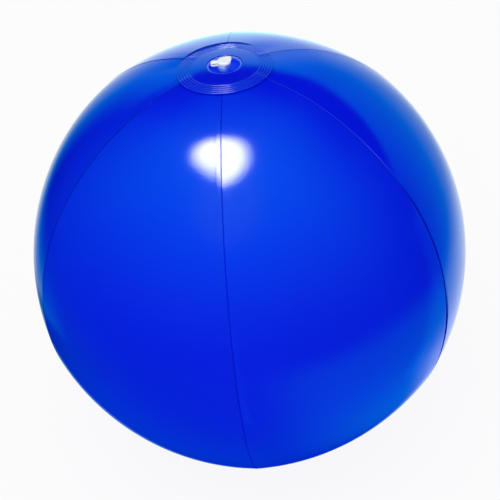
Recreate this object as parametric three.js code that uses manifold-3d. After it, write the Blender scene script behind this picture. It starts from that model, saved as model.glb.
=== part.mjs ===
// Inflatable beach ball in millimetres, +Z up, resting on its base disc, with one seam facing -Y.
// Six welded film gores, a ringed disc at each pole, and a push-in inflation valve in the upper disc.

import * as THREE from 'three';
import { mergeVertices } from 'three/addons/utils/BufferGeometryUtils.js';
import Module from 'manifold-3d';

const wasm = await Module();
wasm.setup();

// Clearance left between pieces that touch
const clearance = 0.3;

// Gores
const goreCount = 6;
const seamRadius = 141; // from the centre of the ball to the outside of a seam
const goreFlatness = 2; // the middle of a gore is this much nearer the centre, at the equator
const film = 0.3;
const lapWidth = 2.6; // welded overlap of two gores
const lapSlope = 1.8; // width over which a gore steps down to pass under its neighbour

// End discs
const discRadius = 28.4;
const discFilm = 0.35;
const ridgeCount = 5;
const ridgePitch = 1.6;
const ridgeHeight = 0.2;
const bandSink = 0.6; // the stiff welded band lies this much inside the round of the ball
const bandRise = 1.8; // width over which the gores swell out again beside a disc
const patchMargin = 4.4; // from the weld band to the patch flattened by the floor

// Valve
const flangeThickness = 0.8;
const skirtWall = 0.6;
const skirtLip = 0.2; // the lip of the skirt stands this much above the disc
const wellRoom = 0.85; // free room between the strap's bend and the skirt
const stemRadius = 3.9;
const boreRadius = 3;
const stemLength = 13;
const mouthDepth = 0.8; // the mouth of the stem is this much below the edge of the well
const collarWidth = 1.4;
const collarThickness = 1;
const flapThickness = 0.6;
const flapCover = 0.9; // the flap laps the rim of the bore by this much
const flapHingeWidth = 3.2;

// Stopper
const headOverhang = 0.1; // the head is this much wider than the stem
const headThickness = 1.8;
const headRound = 0.45;
const shankLength = 5;
const shankTaper = 1.2;
const tabReach = 1.4; // how far the pull tab stands out from the head
const tabWidth = 4.4;
const tabThickness = 1;
const tabAzimuth = THREE.MathUtils.degToRad(140); // from -Y, turning towards +X
const strapWidth = 3;
const strapThickness = 0.9;
const strapSpan = 2.7; // straight stretch of the strap beside the head
const strapLoop = 0.8; // radius of the strap's bend
const strapAzimuth = THREE.MathUtils.degToRad(-90);

// Steps in the round and along the skin
const latheSteps = 42;
const valveSteps = 32;
const goreColumns = 6;
const goreRows = 18;
const tipRows = 2;
const swellRows = 3;
const ridgeSteps = 4;

// Derived sizes
const halfGore = Math.PI / goreCount;
const bandInner = discRadius - ridgeCount * ridgePitch;
const patchRadius = bandInner - patchMargin;
const headRadius = stemRadius + headOverhang;
const strapStart = headRadius + clearance;
const strapBend = strapStart + strapSpan;
const strapReach = strapBend + strapLoop + strapThickness / 2;
const wellRadius = strapReach + wellRoom + skirtWall + clearance; // hole in the upper disc
const flangeRadius = (wellRadius + bandInner) / 2;
const discOutside = clearance + discFilm;

// A gore is an arc across its width, struck from a point behind the axis of the ball.
const middleRadius = seamRadius - goreFlatness;
const arcSetback = (seamRadius ** 2 - middleRadius ** 2)
  / (2 * (middleRadius - seamRadius * Math.cos(halfGore)));
const arcRadius = middleRadius + arcSetback;

// How much nearer the centre the skin is than a seam, at an angle from the middle of a gore.
function flatnessAt(fromMiddle) {
  const sideways = arcSetback * Math.sin(fromMiddle);
  return seamRadius + arcSetback * Math.cos(fromMiddle) - Math.sqrt(arcRadius ** 2 - sideways ** 2);
}

// Distance from the centre to the outer face of the gores along a seam. It dips under the
// welded band of a disc, crowns up again towards the pole, and swells out beside the disc.
function seamSkin(polar) {
  const fromAxis = seamRadius * Math.sin(polar);
  const dip = THREE.MathUtils.smoothstep(fromAxis, wellRadius, bandInner);
  const swell = THREE.MathUtils.smoothstep(fromAxis, discRadius, discRadius + bandRise);
  return seamRadius - bandSink * dip * (1 - swell);
}

// A point of the skin. Polar is the angle from +Z, azimuth turns from -Y towards +X,
// and outward is the distance outside the outer face of the gores.
function skinPoint(polar, azimuth, outward) {
  const fromMiddle = THREE.MathUtils.euclideanModulo(azimuth, 2 * halfGore) - halfGore;
  const around = Math.sin(polar);
  const radius = seamSkin(polar) - flatnessAt(fromMiddle) * around ** 2 + outward;
  return new THREE.Vector3(
    radius * around * Math.sin(azimuth),
    -radius * around * Math.cos(azimuth),
    radius * Math.cos(polar),
  );
}

// The skin's profile along a seam near a pole, as distance from the axis and height above the centre.
function polePoint(fromAxis, outward) {
  const polar = Math.asin(fromAxis / seamRadius);
  const radius = seamSkin(polar) + outward;
  return new THREE.Vector2(radius * Math.sin(polar), radius * Math.cos(polar));
}

const centreHeight = polePoint(patchRadius, discOutside).y;
const rimHeight = centreHeight + polePoint(wellRadius, discOutside).y;
const mouthHeight = rimHeight - mouthDepth;
const stemBase = mouthHeight - stemLength;
const headBase = mouthHeight + clearance;

// A series of evenly spaced values, both ends included.
function series(start, end, steps) {
  return Array.from({ length: steps + 1 }, (unused, step) => THREE.MathUtils.lerp(start, end, step / steps));
}

// A closed skin through rings of points that run across an outer face and back along an inner face.
function loft(sections) {
  const ringSize = sections[0].length;
  const columns = ringSize / 2;
  const last = sections.length - 1;
  const triangles = [];
  const quad = (a, b, c, d) => triangles.push(a, b, c, a, c, d);
  for (let row = 0; row < last; row += 1) {
    for (let step = 0; step < ringSize; step += 1) {
      const next = (step + 1) % ringSize;
      const here = row * ringSize;
      const below = here + ringSize;
      quad(here + step, below + step, below + next, here + next);
    }
  }
  for (let column = 0; column < columns - 1; column += 1) {
    const across = ringSize - 1 - column;
    const end = last * ringSize;
    quad(column, column + 1, across - 1, across);
    quad(end + column, end + across, end + across - 1, end + column + 1);
  }
  const geometry = new THREE.BufferGeometry().setFromPoints(sections.flat());
  geometry.setIndex(triangles);
  geometry.computeVertexNormals();
  return geometry;
}

// A closed profile of distances from the axis and heights, turned about +Z.
function revolve(profile, steps) {
  return new THREE.LatheGeometry(profile, steps).rotateX(Math.PI / 2);
}

function solidOf(geometry) {
  const bare = geometry.clone();
  bare.deleteAttribute('normal');
  bare.deleteAttribute('uv');
  const welded = mergeVertices(bare, 1e-4);
  const corners = Array.from(welded.index.array);
  const kept = [];
  for (let corner = 0; corner < corners.length; corner += 3) {
    const [a, b, c] = corners.slice(corner, corner + 3);
    if (a !== b && b !== c && c !== a) {
      kept.push(a, b, c);
    }
  }
  return new wasm.Manifold(new wasm.Mesh({
    numProp: 3,
    vertProperties: new Float32Array(welded.attributes.position.array),
    triVerts: new Uint32Array(kept),
  }));
}

function geometryOf(solid) {
  const mesh = solid.getMesh();
  const geometry = new THREE.BufferGeometry();
  geometry.setAttribute('position', new THREE.BufferAttribute(new Float32Array(mesh.vertProperties), 3));
  geometry.setIndex(Array.from(mesh.triVerts));
  geometry.computeVertexNormals();
  return geometry;
}

// Polar angles of the gores' rows, closer together under the end discs.
const tipPolar = Math.asin(bandInner / seamRadius);
const edgePolar = Math.asin(discRadius / seamRadius);
const capPolar = Math.asin((discRadius + bandRise) / seamRadius);
const upperRows = [
  ...series(tipPolar, edgePolar, tipRows).slice(0, -1),
  ...series(edgePolar, capPolar, swellRows),
];
const middleRows = series(capPolar, Math.PI - capPolar, goreRows).slice(1, -1);
const lowerRows = upperRows.map((polar) => Math.PI - polar).reverse();
const polarRows = [...upperRows, ...middleRows, ...lowerRows];

// One gore. Its first edge is tucked under the gore before it, its other edge lies on the next one.
function gorePanel(index) {
  const seam = index * 2 * halfGore;
  const nextSeam = seam + 2 * halfGore;
  const tuck = -(film + clearance);
  const sections = polarRows.map((polar) => {
    const fromAxis = seamRadius * Math.sin(polar);
    const lap = lapWidth / fromAxis;
    const slope = lapSlope / fromAxis;
    const columns = [[seam - lap, tuck], [seam, tuck]];
    series(seam + slope, nextSeam - lap, goreColumns).forEach((azimuth) => columns.push([azimuth, 0]));
    columns.push([nextSeam, 0]);
    const outer = columns.map(([azimuth, outward]) => skinPoint(polar, azimuth, outward));
    const inner = columns.map(([azimuth, outward]) => skinPoint(polar, azimuth, outward - film));
    return [...outer, ...inner.reverse()];
  });
  return loft(sections).translate(0, 0, centreHeight);
}

// Height of the weld rings above the disc.
function ridgeAt(fromAxis) {
  const turns = (fromAxis - bandInner) / ridgePitch;
  return ridgeHeight * (1 - Math.cos(2 * Math.PI * turns)) / 2;
}

function ringedFace() {
  return series(bandInner, discRadius, ridgeCount * ridgeSteps)
    .map((fromAxis) => polePoint(fromAxis, discOutside + ridgeAt(fromAxis)));
}

// Upper disc, from its edge over the gore tips to the hole for the valve.
function crownDisc() {
  const under = series(wellRadius, discRadius, 8).map((fromAxis) => polePoint(fromAxis, clearance));
  const plain = series(wellRadius, bandInner, 4)
    .slice(0, -1)
    .map((fromAxis) => polePoint(fromAxis, discOutside));
  const profile = [...under, ...ringedFace().reverse(), ...plain.reverse(), under[0]];
  return revolve(profile, latheSteps).translate(0, 0, centreHeight);
}

// Lower disc, with the patch that the floor has pressed flat.
function baseDisc() {
  const down = (point) => new THREE.Vector2(point.x, -point.y);
  const outerFace = [
    ...series(patchRadius, bandInner, 2).slice(0, -1).map((fromAxis) => polePoint(fromAxis, discOutside)),
    ...ringedFace(),
  ].map(down);
  const innerFace = series(discRadius, patchRadius, 5).map((fromAxis) => down(polePoint(fromAxis, clearance)));
  const profile = [
    new THREE.Vector2(0, -centreHeight),
    ...outerFace,
    ...innerFace,
    new THREE.Vector2(0, innerFace.at(-1).y),
  ];
  return revolve(profile, latheSteps).translate(0, 0, centreHeight);
}

// Moulded ring under the upper disc that holds the skirt of the valve.
function valveFlange() {
  const upper = series(wellRadius, flangeRadius, 3).map((fromAxis) => polePoint(fromAxis, 0));
  const lower = series(wellRadius, flangeRadius, 3).map((fromAxis) => polePoint(fromAxis, -flangeThickness));
  const profile = [...lower, ...upper.reverse(), lower[0]];
  return revolve(profile, latheSteps).translate(0, 0, centreHeight);
}

// Soft skirt from the edge of the well down to the collar of the stem.
function valveSkirt() {
  const top = new THREE.Vector2(wellRadius - clearance - skirtWall / 2, rimHeight + skirtLip);
  const foot = new THREE.Vector2(
    stemRadius + clearance + skirtWall / 2,
    stemBase + collarThickness + clearance,
  );
  const drop = top.y - foot.y;
  const curve = new THREE.CubicBezierCurve(
    top,
    new THREE.Vector2(top.x, top.y - 0.45 * drop),
    new THREE.Vector2(foot.x, foot.y + 0.4 * drop),
    foot,
  );
  const side = (offset) => series(0, 1, 8).map((along) => {
    const tangent = curve.getTangent(along);
    return curve.getPoint(along).add(new THREE.Vector2(-tangent.y, tangent.x).multiplyScalar(offset));
  });
  const outside = side(skirtWall / 2);
  const inside = side(-skirtWall / 2);
  const profile = [...outside.reverse(), ...inside, outside[0]];
  return revolve(profile, valveSteps);
}

// Tube of the valve, with a collar at its foot.
function valveStem() {
  const collarRadius = stemRadius + collarWidth;
  const profile = [
    [boreRadius, stemBase],
    [collarRadius, stemBase],
    [collarRadius, stemBase + collarThickness],
    [stemRadius, stemBase + collarThickness],
    [stemRadius, mouthHeight],
    [boreRadius, mouthHeight],
    [boreRadius, stemBase],
  ].map(([fromAxis, height]) => new THREE.Vector2(fromAxis, height));
  return revolve(profile, valveSteps);
}

// Plug with a rounded head and a pull tab.
function stopper() {
  const shankRadius = boreRadius - clearance;
  const headTop = headBase + headThickness;
  const profile = [
    [0, headBase - shankLength],
    [shankRadius * 0.75, headBase - shankLength],
    [shankRadius, headBase - shankLength + shankTaper],
    [shankRadius, headBase],
    [headRadius - headRound, headBase],
    [headRadius, headBase + headRound],
    [headRadius, headTop - headRound],
    [headRadius - headRound, headTop],
    [0, headTop],
  ].map(([fromAxis, height]) => new THREE.Vector2(fromAxis, height));
  const reach = headRadius + tabReach - tabWidth / 2;
  const outline = new THREE.Shape()
    .moveTo(0, -tabWidth / 2)
    .lineTo(reach, -tabWidth / 2)
    .absarc(reach, 0, tabWidth / 2, -Math.PI / 2, Math.PI / 2, false)
    .lineTo(0, tabWidth / 2)
    .closePath();
  const tab = new THREE.ExtrudeGeometry(outline, { depth: tabThickness, bevelEnabled: false, curveSegments: 8 })
    .rotateZ(tabAzimuth - Math.PI / 2)
    .translate(0, 0, headBase + (headThickness - tabThickness) / 2);
  return geometryOf(solidOf(revolve(profile, valveSteps)).add(solidOf(tab)));
}

// Strap from the side of the head, round a bend and back to the stem below.
function stopperStrap() {
  const upper = headBase + headThickness / 2;
  const finish = stemRadius + clearance;
  const outer = strapLoop + strapThickness / 2;
  const inner = strapLoop - strapThickness / 2;
  const middle = upper - strapLoop;
  const outline = new THREE.Shape()
    .moveTo(strapStart, middle + outer)
    .lineTo(strapStart, middle + inner)
    .lineTo(strapBend, middle + inner)
    .absarc(strapBend, middle, inner, Math.PI / 2, -Math.PI / 2, true)
    .lineTo(finish, middle - inner)
    .lineTo(finish, middle - outer)
    .lineTo(strapBend, middle - outer)
    .absarc(strapBend, middle, outer, -Math.PI / 2, Math.PI / 2, false)
    .closePath();
  return new THREE.ExtrudeGeometry(outline, { depth: strapWidth, bevelEnabled: false, curveSegments: 10 })
    .rotateX(Math.PI / 2)
    .translate(0, strapWidth / 2, 0)
    .rotateZ(strapAzimuth - Math.PI / 2);
}

// Leaf under the stem, hinged at its +X side.
function checkFlap() {
  const leafRadius = boreRadius + flapCover;
  const hingeReach = stemRadius + collarWidth - clearance;
  const opening = Math.asin(flapHingeWidth / 2 / leafRadius);
  const outline = new THREE.Shape()
    .moveTo(hingeReach, flapHingeWidth / 2)
    .absarc(0, 0, leafRadius, opening, -opening, false)
    .lineTo(hingeReach, -flapHingeWidth / 2)
    .closePath();
  return new THREE.ExtrudeGeometry(outline, { depth: flapThickness, bevelEnabled: false, curveSegments: 24 })
    .translate(0, 0, stemBase - clearance - flapThickness);
}

const ballFilm = new THREE.MeshStandardMaterial({ color: 0x0a35dc, roughness: 0.18, metalness: 0 });
const tintedSkirt = new THREE.MeshStandardMaterial({ color: 0x0b2fc0, roughness: 0.28, metalness: 0 });
const milkyVinyl = new THREE.MeshStandardMaterial({ color: 0xc4dcf8, roughness: 0.3, metalness: 0 });
const whiteVinyl = new THREE.MeshStandardMaterial({ color: 0xf1f4f7, roughness: 0.35, metalness: 0 });

const ball = new THREE.Group();
ball.name = 'beach_ball';

function addPiece(name, geometry, material) {
  const piece = new THREE.Mesh(geometry, material);
  piece.name = name;
  ball.add(piece);
}

for (let index = 0; index < goreCount; index += 1) {
  addPiece(`gore_panel_${index + 1}`, gorePanel(index), ballFilm);
}
addPiece('crown_disc', crownDisc(), ballFilm);
addPiece('base_disc', baseDisc(), ballFilm);
addPiece('valve_flange', valveFlange(), whiteVinyl);
addPiece('valve_skirt', valveSkirt(), tintedSkirt);
addPiece('valve_stem', valveStem(), milkyVinyl);
addPiece('stopper', stopper(), whiteVinyl);
addPiece('stopper_strap', stopperStrap(), whiteVinyl);
addPiece('check_flap', checkFlap(), whiteVinyl);

export default ball;
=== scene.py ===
"""Looks of an inflatable beach ball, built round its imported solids.

Six lap-welded film gores, a ringed disc at each pole, and the push-in valve with its
strapped stopper. Every length is in metres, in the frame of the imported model.
"""

import math
from typing import NamedTuple

import bmesh
import bpy
import numpy as np
from bpy.props import FloatProperty, FloatVectorProperty, IntProperty, PointerProperty
from bpy.types import Operator, Panel, PropertyGroup
from mathutils import Matrix, Vector


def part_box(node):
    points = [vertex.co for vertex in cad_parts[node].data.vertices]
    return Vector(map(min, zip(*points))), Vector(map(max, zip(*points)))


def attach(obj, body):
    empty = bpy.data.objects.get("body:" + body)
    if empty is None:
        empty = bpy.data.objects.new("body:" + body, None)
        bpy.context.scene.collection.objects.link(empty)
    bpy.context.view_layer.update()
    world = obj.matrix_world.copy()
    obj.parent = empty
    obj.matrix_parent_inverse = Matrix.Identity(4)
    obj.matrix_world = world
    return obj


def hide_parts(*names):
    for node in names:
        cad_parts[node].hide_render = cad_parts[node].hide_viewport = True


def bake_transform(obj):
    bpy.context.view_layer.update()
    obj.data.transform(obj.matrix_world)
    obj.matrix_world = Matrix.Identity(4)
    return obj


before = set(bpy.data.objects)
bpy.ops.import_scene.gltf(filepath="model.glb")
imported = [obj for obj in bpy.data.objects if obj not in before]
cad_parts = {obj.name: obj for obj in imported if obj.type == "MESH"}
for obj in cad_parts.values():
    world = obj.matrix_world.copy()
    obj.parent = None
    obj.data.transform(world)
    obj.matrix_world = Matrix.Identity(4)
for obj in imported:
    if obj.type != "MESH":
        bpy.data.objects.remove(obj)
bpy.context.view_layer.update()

bl_info = {
    "name": "Beach ball",
    "version": (1, 0, 0),
    "blender": (4, 5, 0),
    "location": "View3D > Sidebar > Beach ball",
    "description": "Builds an inflatable beach ball with its valve, and a plain studio round it",
    "category": "Object",
}

GORE_COUNT = 6
GORE_NODES = [f"gore_panel_{number}" for number in range(1, GORE_COUNT + 1)]
HALF_GORE = math.pi / GORE_COUNT

# The seam at the right of the camera leans a little below the middle
LEANING_SEAM = 2 * HALF_GORE
LEAN_POLAR = math.radians(105.0)
LEAN_REACH = math.radians(32.0)


class SeamLook(NamedTuple):
    """How one seam looks, against a plain seam and in parts of each effect."""

    groove: float = 1.0  # width and depth of the groove beside the lap
    start: float = 1.0  # what part of the groove is there beside the upper disc
    shade: float = 0.8  # how dark the painted shade in the groove is
    dullness: float = 0.5  # how far the groove loses its gloss
    margin: float = 0.0  # how dull the film beside the groove is, and how much painted shade it takes, from the equator down
    glint: float = 0.0  # how strong the painted glint on the lap's edge is, on its upper stretch


# The seams from the one at -Y towards +X
SEAM_LOOKS = (
    SeamLook(groove=0.4, shade=0.1, dullness=0.8),
    SeamLook(groove=2.2, start=0.1, shade=0.85, dullness=1.0, margin=1.0, glint=1.0),
    SeamLook(),
    SeamLook(groove=0.3, shade=0.2, dullness=0.2),
    SeamLook(),
    SeamLook(shade=0.35, dullness=0.2),
)

# Angles from +Z, in radians, between which each effect along a seam comes or goes
GROOVE_OPENS = (0.82, 1.0)
MARGIN_BEGINS = (1.36, 1.56)
FAINT_BEGINS = (0.3, 0.42)
GLINT_BEGINS = (0.6, 0.69)
GLINT_ENDS = (0.76, 0.9)

# How strong the painted glint on a lap's edge is above its brightest stretch
FAINT_GLINT = 0.25

# How much a lap deepens the film's colour, where a whole disc counts as 1
LAP_DEEPENING = 0.4

# Cosines of the angle from the slack side between which a disc's edge goes from taut to slack
SLACK_COSINES = (-0.97, -0.4)

# Cosines of the angle from the taut side between which the painted shade of the fold comes in, and how
# dark that painted shade is
FOLD_COSINES = (0.5, 0.85)
FOLD_PAINTED_SHADE = 0.85

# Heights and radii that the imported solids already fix
GORE_LOW, GORE_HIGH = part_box("gore_panel_1")
CENTRE_HEIGHT = (GORE_LOW.z + GORE_HIGH.z) / 2
SEAM_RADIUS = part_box("gore_panel_3")[1].y
MIDDLE_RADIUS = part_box("gore_panel_2")[1].x
RIM_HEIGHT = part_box("crown_disc")[1].z
STEM_LOW, STEM_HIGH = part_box("valve_stem")
PLUG_LOW, PLUG_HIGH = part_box("stopper")
FLAP_LOW, FLAP_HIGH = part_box("check_flap")


def length(name, default, description):
    """A size in metres."""
    return FloatProperty(
        name=name, description=description, default=default, min=0.0, precision=5, unit="LENGTH"
    )


def angle(name, degrees, description):
    """A turn, given in degrees and kept in radians."""
    return FloatProperty(
        name=name, description=description, default=math.radians(degrees), subtype="ANGLE"
    )


def share(name, default, description):
    """A part between nothing and the whole."""
    return FloatProperty(
        name=name, description=description, default=default, min=0.0, max=1.0, subtype="FACTOR"
    )


def light(name, default, description):
    """A strength of light."""
    return FloatProperty(name=name, description=description, default=default, min=0.0)


def colour(name, default, description):
    """A colour without its alpha."""
    return FloatVectorProperty(
        name=name,
        description=description,
        default=default,
        min=0.0,
        max=1.0,
        size=3,
        subtype="COLOR",
    )


class BallSkinSizes(PropertyGroup):
    """Sizes of the gores and of the two end discs."""

    seam_radius: length("Seam radius", SEAM_RADIUS, "Ball centre to the outside of a seam")
    middle_radius: length("Middle radius", MIDDLE_RADIUS, "Ball centre to the middle of a gore")
    film: length("Film", 0.0003, "Thickness of the gore film")
    lap_width: length("Lap width", 0.0026, "Welded overlap of two gores")
    lap_rise: length("Lap rise", 0.00003, "How far the doubled film stands out")
    groove_width: length("Groove width", 0.0006, "Width of the groove beside a film edge")
    pucker_height: length("Pucker height", 0.000025, "Height of the small waves along a weld")
    pucker_reach: length("Pucker reach", 0.008, "How far the waves fade out from a weld")
    disc_radius: length("Disc radius", 0.0284, "Radius of an end disc")
    disc_film: length("Disc film", 0.00035, "Thickness of an end disc")
    disc_lift: length("Disc lift", 0.00065, "How far the outside of a disc lies above the gores")
    ridge_count: IntProperty(name="Rings", description="Weld rings on a disc", default=5, min=1)
    ridge_pitch: length("Ring pitch", 0.0016, "Distance between two weld rings")
    ridge_height: length("Ring height", 0.00016, "Height of a weld ring")
    ridge_width: length("Ring width", 0.00034, "Half the width of a weld ring")
    well_radius: length("Well radius", 0.010, "Radius of the hole in the upper disc")
    well_turn: length("Well turn", 0.0004, "Rounding of the upper disc's edge into the well")
    disc_sink: length("Disc sink", 0.0013, "How far the upper disc lies under the round")
    disc_tilt: length("Disc tilt", 0.0003, "How far the upper disc's edge tilts out and in")
    base_sink: length("Base sink", 0.0012, "How far the floor presses the lower disc's edge in")
    band_rise: length("Band rise", 0.0006, "Width in which taut film rises from a disc's edge")
    slack_rise: length("Slack rise", 0.032, "Width in which slack film rises from a disc's edge")
    slack_azimuth: angle("Slack side", 15.0, "Where the film is slack, from -Y towards +X")
    seam_lean: angle("Seam lean", 2.8, "How far one seam leans to the front")
    fold_width: length("Fold width", 0.0007, "Half the width of the dark fold at a taut edge")
    seam_print: length("Seam print", 0.00018, "Height of the seams that show through a disc")
    patch_radius: length("Patch radius", 0.016, "Radius of the patch pressed flat by the floor")


class BallValveSizes(PropertyGroup):
    """Sizes of the valve, its stopper and its strap."""

    flange_radius: length("Flange radius", 0.015, "Radius of the ring under the upper disc")
    flange_thickness: length("Flange thickness", 0.0008, "Thickness of that ring")
    skirt_wall: length("Skirt wall", 0.0006, "Thickness of the soft skirt")
    clearance: length("Clearance", 0.0003, "Gap between neighbouring pieces of the valve")
    lip_round: length("Lip round", 0.00045, "Radius of the bead along the skirt's lip")
    lip_depth: length("Lip depth", 0.0019, "How far that bead lies under the packed disc's rim")
    stem_radius: length("Stem radius", 0.0039, "Outer radius of the tube")
    bore_radius: length("Bore radius", 0.003, "Inner radius of the tube")
    collar_width: length("Collar width", 0.0014, "How far the collar stands out from the tube")
    collar_thickness: length("Collar thickness", 0.001, "Thickness of the collar")
    flap_radius: length("Flap radius", 0.0039, "Radius of the leaf that closes the tube")
    flap_hinge_width: length("Flap hinge width", 0.0032, "Width of the leaf's hinge lug")
    head_radius: length("Head radius", 0.0040, "Radius of the stopper's head")
    head_thickness: length("Head thickness", 0.0018, "Thickness of the stopper's head")
    head_round: length("Head round", 0.00055, "Rounding of the head's edge")
    shank_radius: length("Shank radius", 0.0027, "Radius of the stopper's plug")
    tab_reach: length("Tab reach", 0.0014, "How far the pull tab stands out from the head")
    tab_width: length("Tab width", 0.0044, "Width of the pull tab")
    tab_azimuth: angle("Tab azimuth", 140.0, "Where the tab points, from -Y towards +X")
    strap_width: length("Strap width", 0.003, "Width of the strap")
    strap_thickness: length("Strap thickness", 0.0009, "Thickness of the strap")
    strap_span: length("Strap span", 0.0022, "Straight stretch of the strap beside the head")
    strap_loop: length("Strap loop", 0.0008, "Radius of the strap's bend")
    strap_azimuth: angle("Strap azimuth", -90.0, "Where the strap points, from -Y towards +X")


class BallFinishes(PropertyGroup):
    """Colours and gloss of the ball's materials."""

    film_colour: colour("Film colour", (0.0, 0.006, 0.74), "Colour of the ball's film")
    film_roughness: share("Film roughness", 0.1, "Roughness of the film's surface")
    # Paler blue of the painted glint along one lap's edge, standing in for light that the edge catches
    glint_colour: colour("Edge colour", (0.14, 0.24, 1.0), "Colour of a whitened film edge")
    # A lighter blue than the film: partly the skirt's own tint, partly painted light that lifts the
    # shade of the well
    skirt_colour: colour("Skirt colour", (0.004, 0.06, 1.0), "Colour of the soft skirt")
    stem_colour: colour("Stem colour", (0.36, 0.58, 0.97), "Colour of the milky tube")
    vinyl_colour: colour("Vinyl colour", (0.86, 0.89, 0.94), "Colour of the stopper and strap")


class BallStage(PropertyGroup):
    """Camera, floor and light of the studio."""

    camera_distance: length("Camera distance", 0.666, "Ball centre to camera")
    camera_azimuth: angle("Camera azimuth", 7.13, "Camera's place, from -Y towards +X")
    camera_elevation: angle("Camera elevation", 40.3, "Camera's height above the ball's equator")
    camera_roll: angle("Camera roll", 7.9, "How far the ball's axis leans left in the picture")
    camera_lens: FloatProperty(
        name="Lens",
        description="Focal length on a 36 mm sensor",
        default=72.8,
        min=10.0,
        unit="CAMERA",
    )
    floor_colour: colour("Floor colour", (0.92, 0.92, 0.92), "Colour of the floor")
    ambient: light("Ambient", 0.74, "Light from all round")
    key_power: light("Key power", 0.55, "Power of the near soft light")
    front_fill: light("Front fill", 0.5, "Part by which the light is stronger low in front")
    gloss_power: light("Gloss power", 35.0, "Power of the mirrored panel")


# Meshes

# Angle between two faces from which the edge between them stays sharp
SHARP_ANGLE = math.radians(38.0)


def polar_direction(azimuth):
    """Unit vector on the ground, with azimuth turning from -Y towards +X."""
    return np.array([np.sin(azimuth), -np.cos(azimuth)])


def smooth_step(value, low, high):
    """A soft step, from 0 at low to 1 at high."""
    part = np.clip((value - low) / (high - low), 0.0, 1.0)
    return part * part * (3.0 - 2.0 * part)


def grid_faces(first, rows, columns, wrap_columns, flip=False):
    """Quads between the points of a grid that is stored row by row, starting at index first."""
    faces = []
    last_column = columns if wrap_columns else columns - 1
    for row in range(rows - 1):
        for column in range(last_column):
            beside = (column + 1) % columns
            here = first + row * columns
            below = here + columns
            quad = (here + column, below + column, below + beside, here + beside)
            faces.append(quad[::-1] if flip else quad)
    return faces


def signed_volume(mesh):
    """Volume inside a closed mesh, negative if its faces look inward."""
    shape = bmesh.new()
    shape.from_mesh(mesh)
    volume = shape.calc_volume(signed=True)
    shape.free()
    return volume


def piece_from(name, points, faces):
    """A mesh object of these points and faces, smooth except at sharp edges, with outward faces."""
    mesh = bpy.data.meshes.new(name)
    mesh.from_pydata([tuple(point) for point in points], [], faces)
    mesh.validate()
    if signed_volume(mesh) < 0.0:
        mesh.flip_normals()
    piece = bpy.data.objects.new(name, mesh)
    bpy.context.scene.collection.objects.link(piece)
    mesh.shade_smooth()
    mesh.set_sharp_from_angle(angle=SHARP_ANGLE)
    return piece


def mark_points(piece, name, values):
    """Stores one number for each point of a piece, for its material to read."""
    attribute = piece.data.attributes.new(name, "FLOAT", "POINT")
    attribute.data.foreach_set("value", np.asarray(values, np.float32).ravel())


def shell_between(outer, inner):
    """Points and faces of a closed sheet between two open grids of the same size."""
    rows, columns = outer.shape[:2]
    size = rows * columns
    points = np.concatenate([outer.reshape(-1, 3), inner.reshape(-1, 3)])
    faces = grid_faces(0, rows, columns, False)
    faces += grid_faces(size, rows, columns, False, flip=True)
    for row in range(rows - 1):
        here = row * columns
        below = here + columns
        faces.append((here, size + here, size + below, below))
        right = here + columns - 1
        right_below = below + columns - 1
        faces.append((right, right_below, size + right_below, size + right))
    end = (rows - 1) * columns
    for column in range(columns - 1):
        faces.append((column, column + 1, size + column + 1, size + column))
        faces.append(
            (end + column, size + end + column, size + end + column + 1, end + column + 1)
        )
    return points, faces


def fan_faces(tip, row, steps, turn):
    """Triangles between a tip point and one ring of a grid, with turn -1 the other way round."""
    faces = []
    for step in range(steps):
        edge = (row * steps + step, row * steps + (step + 1) % steps)
        faces.append((tip, *edge[::turn]))
    return faces


def closing_faces(rows, steps):
    """Quads between the last ring of a grid and its first ring."""
    faces = []
    last = (rows - 1) * steps
    for step in range(steps):
        beside = (step + 1) % steps
        faces.append((last + step, step, beside, last + beside))
    return faces


def end_faces(rows, count):
    """The first and the last ring of a grid, each as one flat face."""
    last = (rows - 1) * count
    return [tuple(range(count)), tuple(last + index for index in reversed(range(count)))]


def revolved(profile, steps):
    """Points and faces of a closed profile of (distance from axis, height), turned about +Z."""
    around = np.arange(steps) * 2.0 * math.pi / steps
    rows = len(profile)
    grid = np.zeros((rows, steps, 3))
    grid[:, :, 0] = profile[:, :1] * np.sin(around)
    grid[:, :, 1] = -profile[:, :1] * np.cos(around)
    grid[:, :, 2] = profile[:, 1:]
    faces = grid_faces(0, rows, steps, True) + closing_faces(rows, steps)
    return grid.reshape(-1, 3), faces


def softened(corners, steps=5):
    """Points of a closed outline whose corners (across, up, round) are rounded off."""
    outline = []
    count = len(corners)
    for index, (across, up, rounding) in enumerate(corners):
        corner = np.array([across, up])
        before = np.array(corners[index - 1][:2]) - corner
        after = np.array(corners[(index + 1) % count][:2]) - corner
        start = corner + before / np.linalg.norm(before) * rounding
        end = corner + after / np.linalg.norm(after) * rounding
        for part in np.linspace(0.0, 1.0, steps + 1):
            outline.append(
                (1 - part) ** 2 * start + 2 * part * (1 - part) * corner + part**2 * end
            )
    return np.array(outline)


def side_of(line):
    """Unit vectors to the left of a line of (across, up), one at each of its points."""
    slope = np.gradient(line, axis=0)
    slope /= np.linalg.norm(slope, axis=1)[:, None]
    return np.column_stack([-slope[:, 1], slope[:, 0]])


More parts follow.
